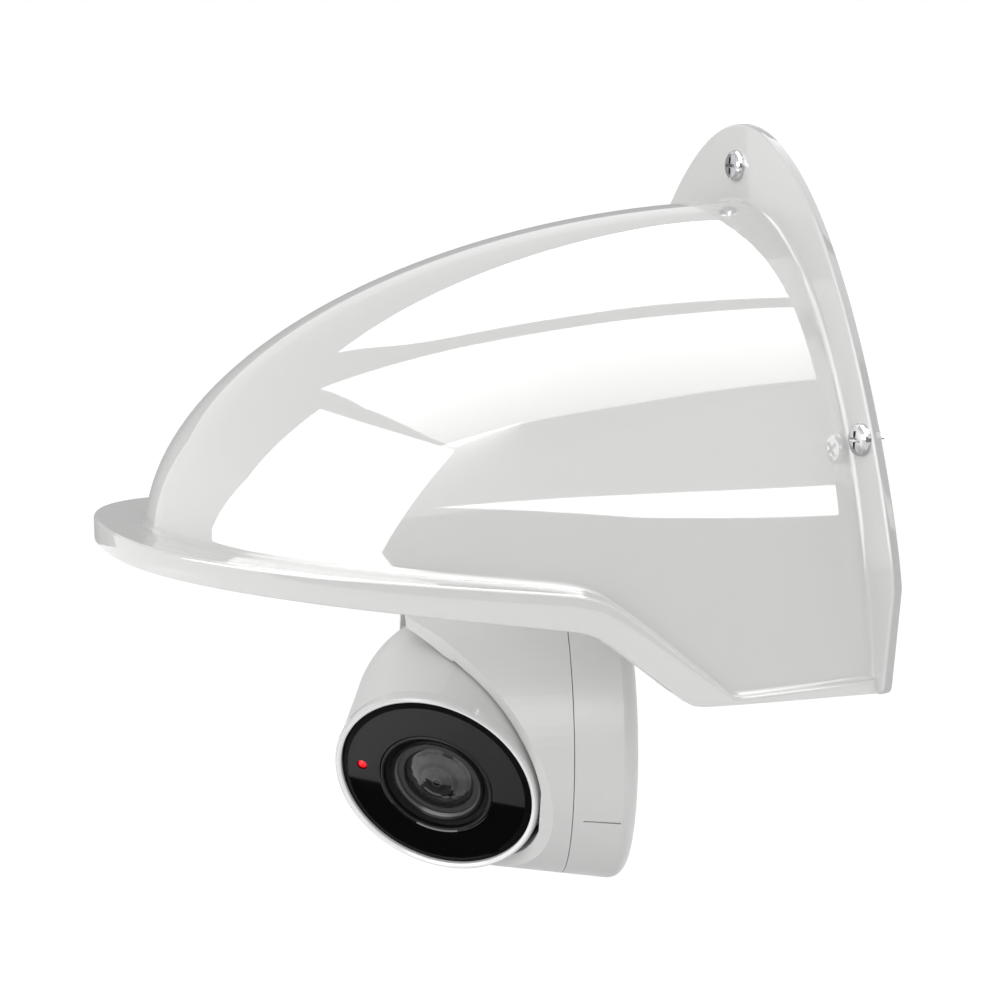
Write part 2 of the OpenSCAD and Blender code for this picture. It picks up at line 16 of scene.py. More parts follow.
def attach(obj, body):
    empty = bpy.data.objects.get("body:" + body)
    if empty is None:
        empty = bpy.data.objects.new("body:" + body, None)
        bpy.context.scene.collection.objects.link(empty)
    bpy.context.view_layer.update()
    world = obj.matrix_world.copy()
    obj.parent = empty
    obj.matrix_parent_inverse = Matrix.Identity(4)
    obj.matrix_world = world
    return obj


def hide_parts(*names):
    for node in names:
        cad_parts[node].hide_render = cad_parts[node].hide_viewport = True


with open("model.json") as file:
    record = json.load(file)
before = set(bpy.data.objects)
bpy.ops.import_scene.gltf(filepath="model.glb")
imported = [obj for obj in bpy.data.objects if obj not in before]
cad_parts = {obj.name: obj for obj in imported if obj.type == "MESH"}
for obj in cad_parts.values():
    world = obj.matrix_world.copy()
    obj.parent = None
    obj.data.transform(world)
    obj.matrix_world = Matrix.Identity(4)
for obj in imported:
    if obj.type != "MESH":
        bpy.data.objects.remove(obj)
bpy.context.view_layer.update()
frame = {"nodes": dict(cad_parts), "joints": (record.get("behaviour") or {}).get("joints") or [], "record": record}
nodes = frame["nodes"]
MM = 0.001

# Radii about the lens axis, which the materials of the front use.
BEZEL_R_MM = 41.7
WINDOW_R_MM = 38.9
MOUNT_R_MM = 24.0
LENS_R_MM = 14.3


# ---------------------------------------------------------------- materials

class Nodes:
    """A short way to build a node material around one Principled shader."""

    def __init__(self, name, colour, roughness, **sockets):
        self.material = bpy.data.materials.new(name)
        self.material.use_nodes = True
        self.tree = self.material.node_tree
        self.shader = self.tree.nodes["Principled BSDF"]
        self.shader.inputs["Base Color"].default_value = (*colour, 1)
        self.shader.inputs["Roughness"].default_value = roughness
        for socket, value in sockets.items():
            self.shader.inputs[socket.replace("_", " ")].default_value = value
        self.place = self.add("ShaderNodeTexCoord").outputs["Object"]

    def add(self, kind, inputs=None, **settings):
        node = self.tree.nodes.new(kind)
        for key, value in settings.items():
            setattr(node, key, value)
        for key, value in (inputs or {}).items():
            if isinstance(value, bpy.types.NodeSocket):
                self.tree.links.new(value, node.inputs[key])
            else:
                node.inputs[key].default_value = value
        return node

    def link(self, output, socket):
        self.tree.links.new(output, self.shader.inputs[socket])

    def noise(self, scale, detail=3.0, stretch=None):
        vector = self.place
        if stretch:
            mapping = self.add("ShaderNodeMapping", {"Vector": vector, "Scale": stretch})
            vector = mapping.outputs["Vector"]
        return self.add("ShaderNodeTexNoise",
                        {"Vector": vector, "Scale": scale, "Detail": detail}).outputs["Fac"]

    def ramp(self, fac, low, high, start=0.3, stop=0.7):
        """A grey or coloured ramp between two values over part of fac's range."""
        node = self.add("ShaderNodeValToRGB", {"Fac": fac})
        ends = node.color_ramp.elements
        ends[0].position, ends[1].position = start, stop
        for end, value in zip(ends, (low, high)):
            end.color = (*value, 1) if isinstance(value, tuple) else (value, value, value, 1)
        return node.outputs["Color"]

    def stops(self, fac, points):
        """A very slightly cool grey ramp through several (position, value) stops."""
        node = self.add("ShaderNodeValToRGB", {"Fac": fac})
        ends = node.color_ramp.elements
        while len(ends) < len(points):
            ends.new(0.5)
        for end, (position, value) in zip(ends, points):
            end.position = position
            end.color = (value, value, value * 1.04, 1)
        return node.outputs["Color"]

    def lens_radius(self, full_mm):
        """Distance from the lens axis as a share of full_mm."""
        joint = next(j for j in frame["joints"] if j["name"] == "eye_roll")
        offset = self.add("ShaderNodeVectorMath", {0: self.place, 1: joint["pos_m"]},
                          operation="SUBTRACT").outputs["Vector"]
        across = self.add("ShaderNodeVectorMath", {0: offset, 1: joint["axis"]},
                          operation="CROSS_PRODUCT").outputs["Vector"]
        length = self.add("ShaderNodeVectorMath", {0: across}, operation="LENGTH").outputs["Value"]
        return self.add("ShaderNodeMath", {0: length, 1: 1.0 / (full_mm * MM)},
                        operation="MULTIPLY").outputs["Value"]

    def span(self, value, start_mm, stop_mm):
        """0 below start and 1 above stop, for a length in metres."""
        return self.add("ShaderNodeMapRange", {"Value": value, "From Min": start_mm * MM,
                                               "From Max": stop_mm * MM}).outputs["Result"]

    def colour_variation(self, colour, spread, scale):
        low = tuple(max(0.0, c * (1 - spread)) for c in colour)
        high = tuple(min(1.0, c * (1 + spread)) for c in colour)
        self.link(self.ramp(self.noise(scale), low, high), "Base Color")

    def roughness_variation(self, low, high, scale, stretch=None):
        self.link(self.ramp(self.noise(scale, 4.0, stretch), low, high), "Roughness")

    def bump(self, height, strength, distance):
        node = self.add("ShaderNodeBump",
                        {"Height": height, "Strength": strength, "Distance": distance})
        self.link(node.outputs["Normal"], "Normal")
        return node


def shade_rimmed_moulding(name, colour, edge):
    """Gloss moulding whose flange is less glossy and whose trimmed outer edge is matt and darker with painted
    shade.
    The wall is the plane Y = 0."""
    m = Nodes(name, colour, 0.05, IOR=1.5, Coat_Roughness=0.0, Coat_IOR=1.6)
    depth = m.add("ShaderNodeSeparateXYZ", {"Vector": m.place}).outputs["Y"]
    flange = m.span(depth, -6.6, -5.6)
    painted_shade_rim = m.span(depth, -3.7, -3.0)
    plain = m.ramp(m.noise(9.0), tuple(c * 0.988 for c in colour), tuple(c * 1.012 for c in colour))
    # Painted shade: the flange's outer edge takes the darker edge colour.
    mix = m.add("ShaderNodeMixRGB", {"Fac": painted_shade_rim, "Color1": plain, "Color2": (*edge, 1)})
    m.link(mix.outputs["Color"], "Base Color")
    m.link(m.ramp(flange, 1.0, 0.35, 0.0, 1.0), "Coat Weight")
    m.link(m.ramp(painted_shade_rim, 0.5, 0.1, 0.0, 1.0), "Specular IOR Level")
    m.roughness_variation(0.03, 0.06, 30.0)
    m.bump(m.noise(60.0, 1.0), 0.01, 0.0003)
    return m.material


def lip_highlight_moulding(name, side, lip):
    """Gloss ring: painted like the ball on its side, with a painted highlight making its front lip brighter."""
    m = Nodes(name, lip, 0.12, IOR=1.5, Coat_Weight=0.5, Coat_Roughness=0.03)
    # Painted highlight: the front lip takes the brighter colour.
    m.link(m.ramp(m.lens_radius(BEZEL_R_MM), lip, side, 0.962, 0.980), "Base Color")
    m.roughness_variation(0.10, 0.16, 60.0)
    return m.material


def satin_paint(name, colour):
    """Fine satin powder paint over a die casting."""
    m = Nodes(name, colour, 0.36, IOR=1.5)
    m.colour_variation(colour, 0.015, 14.0)
    m.roughness_variation(0.32, 0.42, 60.0)
    m.bump(m.noise(2600.0, 2.0), 0.10, 0.00006)
    return m.material


def plated(name, colour, thread, low, high):
    """Bright plating, paler on a screw's thread, which lies behind the wall plane Y = 0."""
    m = Nodes(name, colour, low, Metallic=1.0)
    depth = m.add("ShaderNodeSeparateXYZ", {"Vector": m.place}).outputs["Y"]
    m.link(m.ramp(m.span(depth, -0.2, 0.0), colour, thread, 0.0, 1.0), "Base Color")
    m.roughness_variation(low, high, 500.0)
    m.bump(m.noise(1500.0), 0.05, 0.00003)
    return m.material


def brushed(name, colour, low, high):
    """Metal with fine lines along X."""
    m = Nodes(name, colour, low, Metallic=1.0)
    m.roughness_variation(low, high, 900.0, (0.04, 1.0, 1.0))
    m.bump(m.noise(1400.0, 2.0, (0.04, 1.0, 1.0)), 0.12, 0.00003)
    return m.material


def matt(name, colour, roughness, grain):
    """Plain matt rubber or plastic with a fine grain."""
    m = Nodes(name, colour, roughness)
    m.colour_variation(colour, 0.10, 60.0)
    m.roughness_variation(roughness - 0.05, min(1.0, roughness + 0.08), 120.0)
    m.bump(m.noise(grain, 3.0), 0.25, 0.00008)
    return m.material


def polished_sheet(name, colour):
    """Smooth clear or dark plastic."""
    m = Nodes(name, colour, 0.03, IOR=1.5)
    m.roughness_variation(0.02, 0.05, 80.0)
    return m.material


def window_sheet(name, colour):
    """Black infrared-pass sheet: polished face, matt printed border on the bevel."""
    m = Nodes(name, colour, 0.02, IOR=1.5)
    radius = m.lens_radius(WINDOW_R_MM)
    gloss = [(0.0, 0.46), (0.928, 0.46), (0.934, 0.05), (1.0, 0.05)]
    m.link(m.stops(radius, gloss), "Specular IOR Level")
    m.roughness_variation(0.015, 0.03, 80.0)
    return m.material


def coated_lens(name):
    """Dark coated optics: the mounts of the elements behind show as faint rings."""
    m = Nodes(name, (0.02, 0.02, 0.022), 0.03, IOR=1.5, Coat_Weight=0.6, Coat_Roughness=0.0)
    rings = [(0.0, 0.004), (0.09, 0.004), (0.12, 0.05), (0.17, 0.012), (0.30, 0.020), (0.46, 0.030),
             (0.50, 0.006), (0.56, 0.006), (0.60, 0.026), (0.80, 0.034), (0.84, 0.010), (0.88, 0.034),
             (1.0, 0.040)]
    m.link(m.stops(m.lens_radius(LENS_R_MM), rings), "Base Color")
    return m.material


def lens_mount(name):
    """Black lens mount: a glossy ring round the lens, a thin painted highlight along its edge, then a matt black
    step.
    """
    m = Nodes(name, (0.006, 0.006, 0.006), 0.3, IOR=1.5)
    radius = m.lens_radius(MOUNT_R_MM)
    # The bright stop at 0.72 is a painted highlight round the lens mount's edge.
    tones_and_painted_highlight = [(0.0, 0.008), (0.60, 0.028), (0.70, 0.030), (0.72, 0.09), (0.735, 0.004), (0.90, 0.004),
             (0.925, 0.03), (1.0, 0.01)]
    m.link(m.stops(radius, tones_and_painted_highlight), "Base Color")
    gloss = [(0.0, 0.45), (0.72, 0.45), (0.74, 0.12), (1.0, 0.12)]
    m.link(m.stops(radius, gloss), "Specular IOR Level")
    m.roughness_variation(0.25, 0.4, 120.0)
    m.bump(m.noise(1600.0), 0.15, 0.00005)
    return m.material


def lit_lamp(name, colour, strength):
    """A small lit lamp, deeper in colour towards its edge."""
    m = Nodes(name, colour, 0.25, Emission_Strength=strength)
    facing = m.add("ShaderNodeLayerWeight", {"Blend": 0.35}).outputs["Facing"]
    deep = tuple(c * 0.55 for c in colour)
    m.link(m.ramp(facing, colour, deep, 0.0, 0.8), "Emission Color")
    return m.material


def circuit_board(name, colour):
    """Solder mask with a grid of copper pads showing faintly."""
    m = Nodes(name, colour, 0.35)
    cells = m.add("ShaderNodeTexVoronoi", {"Vector": m.place, "Scale": 420.0})
    pads = m.ramp(cells.outputs["Distance"], (0.55, 0.5, 0.3), colour, 0.10, 0.16)
    m.link(pads, "Base Color")
    m.bump(cells.outputs["Distance"], 0.2, 0.0001)
    return m.material


MATERIALS = {
    # The second colour is painted shade on the hood flange's outer edge.
    "hood_white": shade_rimmed_moulding("hood_white", (0.64, 0.64, 0.63), (0.48, 0.48, 0.48)),
    "camera_white": satin_paint("camera_white", (0.60, 0.60, 0.595)),
    # The second colour is a painted highlight on the bezel's front lip.
    "bezel_white": lip_highlight_moulding("bezel_white", (0.60, 0.60, 0.595), (0.88, 0.88, 0.88)),
    "bracket_steel": satin_paint("bracket_steel", (0.62, 0.62, 0.61)),
    "screw_chrome": plated("screw_chrome", (0.56, 0.56, 0.57), (0.95, 0.95, 0.95), 0.08, 0.18),
    "fastener_steel": brushed("fastener_steel", (0.60, 0.60, 0.62), 0.22, 0.4),
    "acetal_grey": matt("acetal_grey", (0.20, 0.20, 0.21), 0.5, 900.0),
    "rubber_black": matt("rubber_black", (0.022, 0.022, 0.022), 0.7, 1300.0),
    "window_black": window_sheet("window_black", (0.002, 0.002, 0.0022)),
    "lens_black": lens_mount("lens_black"),
    "lens_glass": coated_lens("lens_glass"),
    "led_red": lit_lamp("led_red", (0.80, 0.002, 0.008), 0.85),
    "led_clear": polished_sheet("led_clear", (0.8, 0.8, 0.75)),
    "board_green": circuit_board("board_green", (0.015, 0.12, 0.05)),
    "sensor_dark": polished_sheet("sensor_dark", (0.03, 0.03, 0.05)),
    "heat_sink_alu": brushed("heat_sink_alu", (0.72, 0.72, 0.74), 0.2, 0.35),
    "filter_teal": polished_sheet("filter_teal", (0.03, 0.25, 0.25)),
}


def dress_nodes():
    for part in frame["record"]["subparts"]:
        mesh = nodes[part["node"]].data
        mesh.materials.clear()
        mesh.materials.append(MATERIALS[part["material_slot"]])


# ------------------------------------------------- hood: shape of the moulding
# The same surfaces as the CAD hood, cut more finely and with rounded edges.

BRIM_REACH_MM = 258.4
BRIM_HALF_W_MM = 106.0
DOME_REACH_MM = 242.0
DOME_HALF_W_MM = 103.5
DOME_TOP_MM = 82.0
BRIM_Z_MM = -57.0
BRIM_TAN = math.tan(math.radians(6.5))
LIP_TOP_MM = -85.5
LIP_LOW_MM = -91.0
SHELL_MM = 3.0
BACK_Y_MM = 2.2
ARCH_Z_MM = -90.8
NOSE_Z_MM = -36.0
FLANGE_MM = 4.0
FLANGE_HALF_W_MM = 114.0
FLANGE_TOP_MM = 111.6
FLANGE_WIDEST_MM = -50.5
FLANGE_EDGE_MM = 1.4
FOOT_FILLET_MM = 2.2
LIP_EDGE_MM = 1.3
HEM_EDGE_MM = 0.7


def clamp01(v):
    return np.clip(v, 0.0, 1.0)


def soft_min(a, b, r):
    """The lower of two curves, with the corner between them rounded by r."""
    return (a + b) / 2 - np.sqrt(((a - b) / 2) ** 2 + r * r)


def soft_max(a, b, r):
    """The higher of two curves, with the corner between them rounded by r."""
    return (a + b) / 2 + np.sqrt(((a - b) / 2) ** 2 + r * r)


def arch_w(z, t=0.0):
    """Half width of the dome's arch at height z, t inside the outer surface."""
    h = clamp01((z - ARCH_Z_MM) / (DOME_TOP_MM - t - ARCH_Z_MM))
    return (DOME_HALF_W_MM - t) * (1 - h ** 1.5) ** (1 / 2.2)


def arch_y(z, t=0.0):
    """Reach of the dome at height z."""
    h = clamp01((z - NOSE_Z_MM) / (DOME_TOP_MM - t - NOSE_Z_MM))
    return (DOME_REACH_MM - BACK_Y_MM - t) * (1 - h ** 2.05) ** (1 / 1.9)


def brim_z(y):
    """Height of the flat brim at reach y."""
    return BRIM_Z_MM + BRIM_TAN * y


def lip_top(y):
    """Upper edge of the lip: flat at the wall, then a rise to the brim."""
    return np.maximum(LIP_TOP_MM, soft_min(brim_z(y), -83.2 + 0.82 * (y - 65.2), 2.5))


def lip_low(y):
    """Lower edge of the lip."""
    drop = 9 + 4 * clamp01((BRIM_REACH_MM - y) / 130) ** 1.5
    return soft_max(LIP_LOW_MM + 0.043 * y, soft_min(brim_z(y) - drop, -83.3 + 0.83 * (y - 84.3), 2), 1)


def brim_point(a, t):
    """Half width and reach of the brim's outline at angle a, 0 at the wall."""
    x = (BRIM_HALF_W_MM - t) * max(0.0, math.cos(a)) ** (2 / 2.45)
    y = BACK_Y_MM + (BRIM_REACH_MM - BACK_Y_MM - t) * math.sin(a) ** (2 / 3.2)
    return x, y


def foot_reach(y):
    """Reach of the dome's foot on the brim's outline at reach y."""
    share = 1 - (DOME_REACH_MM - BACK_Y_MM) / (BRIM_REACH_MM - BACK_Y_MM)
    return BACK_Y_MM + (y - BACK_Y_MM) * (1 - share * (y / BRIM_REACH_MM) ** 4)


def dome_point(a, z, t):
    """A point of the dome at angle a and height z, t inside the outer surface."""
    x = arch_w(z, t) * math.cos(a)
    y = BACK_Y_MM + arch_y(z, t) * math.sin(a) ** (2 / 2.95)
    return np.array([x, -y, z])


def outer_wall(dome_a, foot_z, out, fillet, arcs):
    """The dome's outside from near its top down to the ledge, with a rounded foot."""
    points = []
    for j in range(1, arcs + 1):
        z = foot_z + fillet + (DOME_TOP_MM - foot_z - fillet) * math.cos(math.pi / 2 * j / arcs)
        points.append(dome_point(dome_a, z, 0.0))
    for k in range(1, 6):
        phi = math.radians(90 * k / 5)
        z = foot_z + fillet * (1 - math.sin(phi))
        p = dome_point(dome_a, z, 0.0)
        p[:2] += out * fillet * (1 - math.cos(phi))
        p[2] = z + (float(lip_top(-p[1])) - foot_z) * k / 5
        points.append(p)
    return points


def lip_face(outer, inner, inward, edge):
    """The lip from its rounded upper edge, down and round the hem. outer and inner are
    points of the brim's two outlines."""
    low, top = float(lip_low(-outer[1])), float(lip_top(-outer[1]))
    points = []
    for k in range(6):
        phi = math.radians(90 * k / 5)
        p = outer + inward * edge * (1 - math.sin(phi))
        z = float(lip_top(-p[1])) if k == 0 else top - edge * (1 - math.cos(phi))
        points.append([*p, z])
    for k in range(4):
        phi = math.radians(30 * k)
        p = outer + inward * HEM_EDGE_MM * (1 - math.cos(phi))
        points.append([*p, low + HEM_EDGE_MM * (1 - math.sin(phi))])
    inner_low = float(lip_low(-inner[1]))
    for k in range(4):
        phi = math.radians(30 * k)
        p = inner - inward * HEM_EDGE_MM * (1 - math.sin(phi))
        points.append([*p, inner_low + HEM_EDGE_MM * (1 - math.cos(phi))])
    under = float(lip_top(-inner[1])) - SHELL_MM
    points.append([*inner, max(under, inner_low + 1.0)])
    return points


def inner_wall(dome_a, foot_z, arcs):
    """The dome's inside from its foot up to near its top."""
    foot, top = foot_z - SHELL_MM, DOME_TOP_MM - SHELL_MM
    heights = [foot + (top - foot) * math.cos(math.pi / 2 * j / arcs) for j in range(arcs, 0, -1)]
    return [dome_point(dome_a, z, SHELL_MM) for z in heights]


def hood_section(u, side, arcs):
    """One section of the moulding, from the dome's top over its outside, round the lip and
    back up its inside. u runs from 0 at the wall to 1 at the nose."""
    a = math.radians(90 * u ** 1.6)
    xo, yo = brim_point(a, 0.0)
    xi, yi = brim_point(a, SHELL_MM)
    outer, inner = np.array([xo, -yo]), np.array([xi, -yi])
    foot_y = foot_reach(yo)
    share = clamp01((foot_y - BACK_Y_MM) / (DOME_REACH_MM - BACK_Y_MM))
    dome_a = math.asin(clamp01(share ** (2.95 / 2)))
    foot_z = float(lip_top(foot_y))
    out = outer - dome_point(dome_a, foot_z, 0.0)[:2]
    ledge = np.linalg.norm(out)
    inward = (inner - outer) / np.linalg.norm(inner - outer)
    points = outer_wall(dome_a, foot_z, out / ledge, min(FOOT_FILLET_MM, 0.5 * ledge), arcs)
    points += lip_face(outer, inner, inward, min(LIP_EDGE_MM, 0.4 * ledge))
    points += inner_wall(dome_a, foot_z, arcs)
    section = np.array(points)
    section[:, 0] *= side
    return section


def mesh_object(name, points_mm, faces):
    """A mesh in metres from points in millimetres, with its faces turned outwards."""
    mesh = bpy.data.meshes.new(name)
    mesh.from_pydata([tuple(float(c) * MM for c in p) for p in points_mm], [], faces)
    mesh.update()
    obj = bpy.data.objects.new(name, mesh)
    bpy.context.scene.collection.objects.link(obj)
    bm = bmesh.new()
    bm.from_mesh(mesh)
    bmesh.ops.recalc_face_normals(bm, faces=bm.faces)
    bm.to_mesh(mesh)
    bm.free()
    return obj


def swept(name, rings):
    """A closed solid through a list of rings of equally many points, capped at both ends."""
    count, m = len(rings), len(rings[0])
    faces = []
    for k in range(count - 1):
        for j in range(m):
            i = (j + 1) % m
            faces.append((k * m + j, k * m + i, (k + 1) * m + i, (k + 1) * m + j))
    faces.append(tuple(range(m)))
    faces.append(tuple((count - 1) * m + j for j in range(m - 1, -1, -1)))
    return mesh_object(name, [p for ring in rings for p in ring], faces)


def hood_shell(halves=84, arcs=44):
    """Dome, brim and lip: sections from the wall on the right, round the nose, to the left."""
    rows = [hood_section(k / halves, 1.0, arcs) for k in range(halves + 1)]
    rows += [hood_section(k / halves, -1.0, arcs) for k in range(halves - 1, -1, -1)]
    m, last = len(rows[0]), len(rows) - 1
    points = [p for row in rows for p in row]
    top_out, top_in = len(points), len(points) + 1
    points += [(0, -BACK_Y_MM, DOME_TOP_MM), (0, -BACK_Y_MM, DOME_TOP_MM - SHELL_MM)]
    faces = []
    for k in range(last):
        a, b = k * m, (k + 1) * m
        faces += [(a + j, a + j + 1, b + j + 1, b + j) for j in range(m - 1)]
        faces += [(top_out, a, b), (top_in, b + m - 1, a + m - 1)]
    # The back edge at each end: a strip between outside and inside, then the lip's outline.
    for base, flip in ((0, False), (last * m, True)):
        ends = [(top_in, base + m - 1, base, top_out)]
        ends += [(base + m - 1 - i, base + m - 2 - i, base + i + 1, base + i) for i in range(arcs - 1)]
        ends.append(tuple(base + i for i in range(m - arcs, arcs - 2, -1)))
        faces += [tuple(reversed(f)) if flip else f for f in ends]
    return mesh_object("hood_shell", points, faces)


def flange_edge(steps):
    """Outline of the flange's right half in x and z, from its foot to the top of the tab."""
    foot = [(101.5, -91.0), (105.6, -91.0), (106.9, -90.8), (108.9, -89.7), (109.8, -88.7), (110.2, -87.2)]
    foot += [(110.2 + 3.6 * t, -87.2 + 33.7 * t) for t in (0.2, 0.4, 0.6, 0.8, 1.0)]
    rise = FLANGE_TOP_MM - FLANGE_WIDEST_MM
    z = FLANGE_WIDEST_MM + rise * (1 - (1 - np.linspace(0, 1, steps)) ** 2)
    h = clamp01((z - FLANGE_WIDEST_MM) / rise)
    x = FLANGE_HALF_W_MM * (1 - h ** 1.2) ** (1 / 1.95)
    return np.array(foot + list(zip(x, z)))


def mirrored_path(half):
    """A path over the top from a right half whose last point lies in the middle."""
    left = half[-2::-1].copy()
    left[:, 0] *= -1
    return np.vstack([half, left])


def outward_normals(path):
    """Unit normals of a path that runs over the top from right to left."""
    d = np.gradient(path, axis=0)
    n = np.stack([d[:, 1], -d[:, 0]], 1)
    return n / np.linalg.norm(n, axis=1, keepdims=True)


def hood_flange(steps=64):
    """The plate on the wall: an arch with its tab, open below, with rounded front edges."""
    edge = flange_edge(steps)
    z = np.linspace(-91.0, -86.0, len(edge) - steps)
    low = -86.0
    z = np.concatenate([z, low + (DOME_TOP_MM - 3.4 - low) * np.sin(np.linspace(0, math.pi / 2, steps))])
    opening = mirrored_path(np.stack([arch_w(z, 3.4), z], 1))
    edge = mirrored_path(edge)
    out = outward_normals(edge)
    rings = []
    for f, n, d in zip(edge, out, opening):
        flat = [(d, 0.0), (f - 0.4 * n, 0.0), (f, 0.4)]
        for k in range(6):
            phi = math.radians(18 * k)
            inset = FLANGE_EDGE_MM * (1 - math.cos(phi))
            drop = FLANGE_EDGE_MM * (1 - math.sin(phi))
            flat.append((f - n * inset, FLANGE_MM - drop))
        flat.append((d, FLANGE_MM))
        rings.append([(q[0], -y, q[1]) for q, y in flat])
    return swept("hood_flange", rings)


def hood_fillet(steps=72, radius=2.0):
    """The rounded corner where the dome meets the flange."""
    z = -88.5 + (DOME_TOP_MM + 88.5) * np.sin(np.linspace(0, math.pi / 2, steps))
    path = mirrored_path(np.stack([arch_w(z), z], 1))
    out = outward_normals(path)
    rings = []
    for p, n in zip(path, out):
        section = [(-1.2, FLANGE_MM - 0.8), (radius, FLANGE_MM - 0.8)]
        for k in range(7):
            phi = math.radians(15 * k)
            section.append((radius * (1 - math.sin(phi)), FLANGE_MM + radius * (1 - math.cos(phi))))
        section.append((-1.2, FLANGE_MM + radius))
        rings.append([((p + n * a)[0], -y, (p + n * a)[1]) for a, y in section])
    return swept("hood_fillet", rings)


def strap_recess(steps=24):
    """The pocket in the flange's back for the bracket's strap."""
    half_l, r, depth = 91.5, 6.7, 2.0
    ring = []
    for side in (1, -1):
        for k in range(steps + 1):
            a = math.pi * k / steps - math.pi / 2
            ring.append((side * (half_l + r * math.cos(a)), side * r * math.sin(a)))
    return swept("strap_recess", [[(x, y, z) for x, z in ring] for y in (1.0, -depth)])


def join_solids(target, other, operation):
    """Add a solid to the target or cut it out, and drop it."""
    tool = target.modifiers.new(operation.lower(), "BOOLEAN")
    tool.operation = operation
    tool.object = other
    tool.solver = "MANIFOLD"
    bpy.context.view_layer.objects.active = target
    bpy.ops.object.modifier_apply(modifier=tool.name)
    bpy.data.objects.remove(other)


def smooth(obj, angle=32.0):
    """Smooth shading with sharp edges above an angle in degrees."""
    obj.data.shade_smooth()
    obj.data.set_sharp_from_angle(angle=math.radians(angle))
    return obj


def make_hood():
    hood = hood_shell()
    join_solids(hood, hood_flange(), "UNION")
    join_solids(hood, hood_fillet(), "UNION")
    join_solids(hood, strap_recess(), "DIFFERENCE")
    hood.name = "hood_moulding"
    smooth(hood)
    hood.data.materials.clear()
    hood.data.materials.append(MATERIALS["hood_white"])
    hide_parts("hood")
    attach(hood, "root")
    return hood


# --------------------------------------------------------------------- studio

def studio_cove():
    """A round white cove: a flat floor that rises into a wall all round."""
    floor_z, flat_r, bend, wall_top = -0.62, 3.4, 1.6, 3.4
    profile = [(0.0, floor_z), (flat_r * 0.5, floor_z)]
    profile += [(flat_r + bend * math.sin(a), floor_z + bend * (1 - math.cos(a)))
                for a in np.linspace(0, math.pi / 2, 17)]
    profile.append((flat_r + bend, wall_top))
    bm = bmesh.new()
    verts = [bm.verts.new((r, 0, z)) for r, z in profile]
    edges = [bm.edges.new(pair) for pair in zip(verts, verts[1:])]
    bmesh.ops.spin(bm, geom=verts + edges, axis=(0, 0, 1), cent=(0, 0, 0), steps=96, angle=2 * math.pi)
    bmesh.ops.remove_doubles(bm, verts=bm.verts, dist=1e-5)
    bmesh.ops.recalc_face_normals(bm, faces=bm.faces)
    mesh = bpy.data.meshes.new("studio_floor")
    bm.to_mesh(mesh)
    bm.free()
    mesh.shade_smooth()
    floor = bpy.data.objects.new("studio_floor", mesh)
    bpy.context.scene.collection.objects.link(floor)
    paper = Nodes("studio_paper", (0.96, 0.96, 0.96), 0.9)
    paper.colour_variation((0.96, 0.96, 0.96), 0.004, 3.0)
    paper.shader.inputs["Specular IOR Level"].default_value = 0.1
    paper.shader.inputs["Emission Color"].default_value = (1, 1, 1, 1)
    paper.shader.inputs["Emission Strength"].default_value = 0.10
    mesh.materials.append(paper.material)


def softbox(name, corners, strength, fade=None, seen_by=("glossy",)):
    """A flat panel, by default seen only in reflections. fade=(near, far, share) are two points
    between which its glow falls to that share."""
    mesh = bpy.data.meshes.new(name)
    mesh.from_pydata([tuple(c) for c in corners], [], [tuple(range(len(corners)))])
    mesh.update()
    panel = bpy.data.objects.new(name, mesh)
    bpy.context.scene.collection.objects.link(panel)
    glow = bpy.data.materials.new(name)
    glow.use_nodes = True
    tree = glow.node_tree
    tree.nodes.clear()
    emission = tree.nodes.new("ShaderNodeEmission")
    emission.inputs["Strength"].default_value = strength
    out = tree.nodes.new("ShaderNodeOutputMaterial")
    tree.links.new(emission.outputs["Emission"], out.inputs["Surface"])
    if fade:
        start, stop = Vector(fade[0]), Vector(fade[1])
        axis = stop - start
        place = tree.nodes.new("ShaderNodeTexCoord")
        dot = tree.nodes.new("ShaderNodeVectorMath")
        dot.operation = "DOT_PRODUCT"
        dot.inputs[1].default_value = axis / axis.length_squared
        level = tree.nodes.new("ShaderNodeMapRange")
        offset = start.dot(axis) / axis.length_squared
        level.inputs["From Min"].default_value = offset
        level.inputs["From Max"].default_value = offset + 1
        level.inputs["To Min"].default_value = strength
        level.inputs["To Max"].default_value = strength * fade[2]
        tree.links.new(place.outputs["Object"], dot.inputs[0])
        tree.links.new(dot.outputs["Value"], level.inputs["Value"])
        tree.links.new(level.outputs["Result"], emission.inputs["Strength"])
    mesh.materials.append(glow)
    panel.visible_camera = False
    panel.visible_diffuse = "diffuse" in seen_by
    panel.visible_glossy = "glossy" in seen_by


def smooth_line(points, steps=8):
    """A Catmull-Rom line through a few points."""
    p = [np.array(q) for q in points]
    p = [2 * p[0] - p[1], *p, 2 * p[-1] - p[-2]]
    line = []
    for a, b, c, d in zip(p, p[1:], p[2:], p[3:]):
        for t in np.arange(steps) / steps:
            line.append(tuple(0.5 * (2 * b + (c - a) * t + (2 * a - 5 * b + 4 * c - d) * t ** 2
                                     + (3 * b - a - 3 * c + d) * t ** 3)))
    return line + [tuple(p[-2])]


def fill_light(name, place, target, size, power):
    """A soft disk lamp, hidden from the camera and from reflections."""
    data = bpy.data.lights.new(name, "AREA")
    data.shape = "DISK"
    data.size = size
    data.energy = power
    light = bpy.data.objects.new(name, data)
    light.location = place
    light.rotation_euler = (Vector(target) - Vector(place)).to_track_quat("-Z", "Y").to_euler()
    light.visible_camera = False
    light.visible_glossy = False
    bpy.context.scene.collection.objects.link(light)


PANEL_GLOW = 5.6
OVERHEAD = 1.3


def studio_air():
    world = bpy.data.worlds.new("studio_air")
    world.use_nodes = True
    world.node_tree.nodes["Background"].inputs["Color"].default_value = (1, 1, 1, 1)
    world.node_tree.nodes["Background"].inputs["Strength"].default_value = 0.92
    bpy.context.scene.world = world


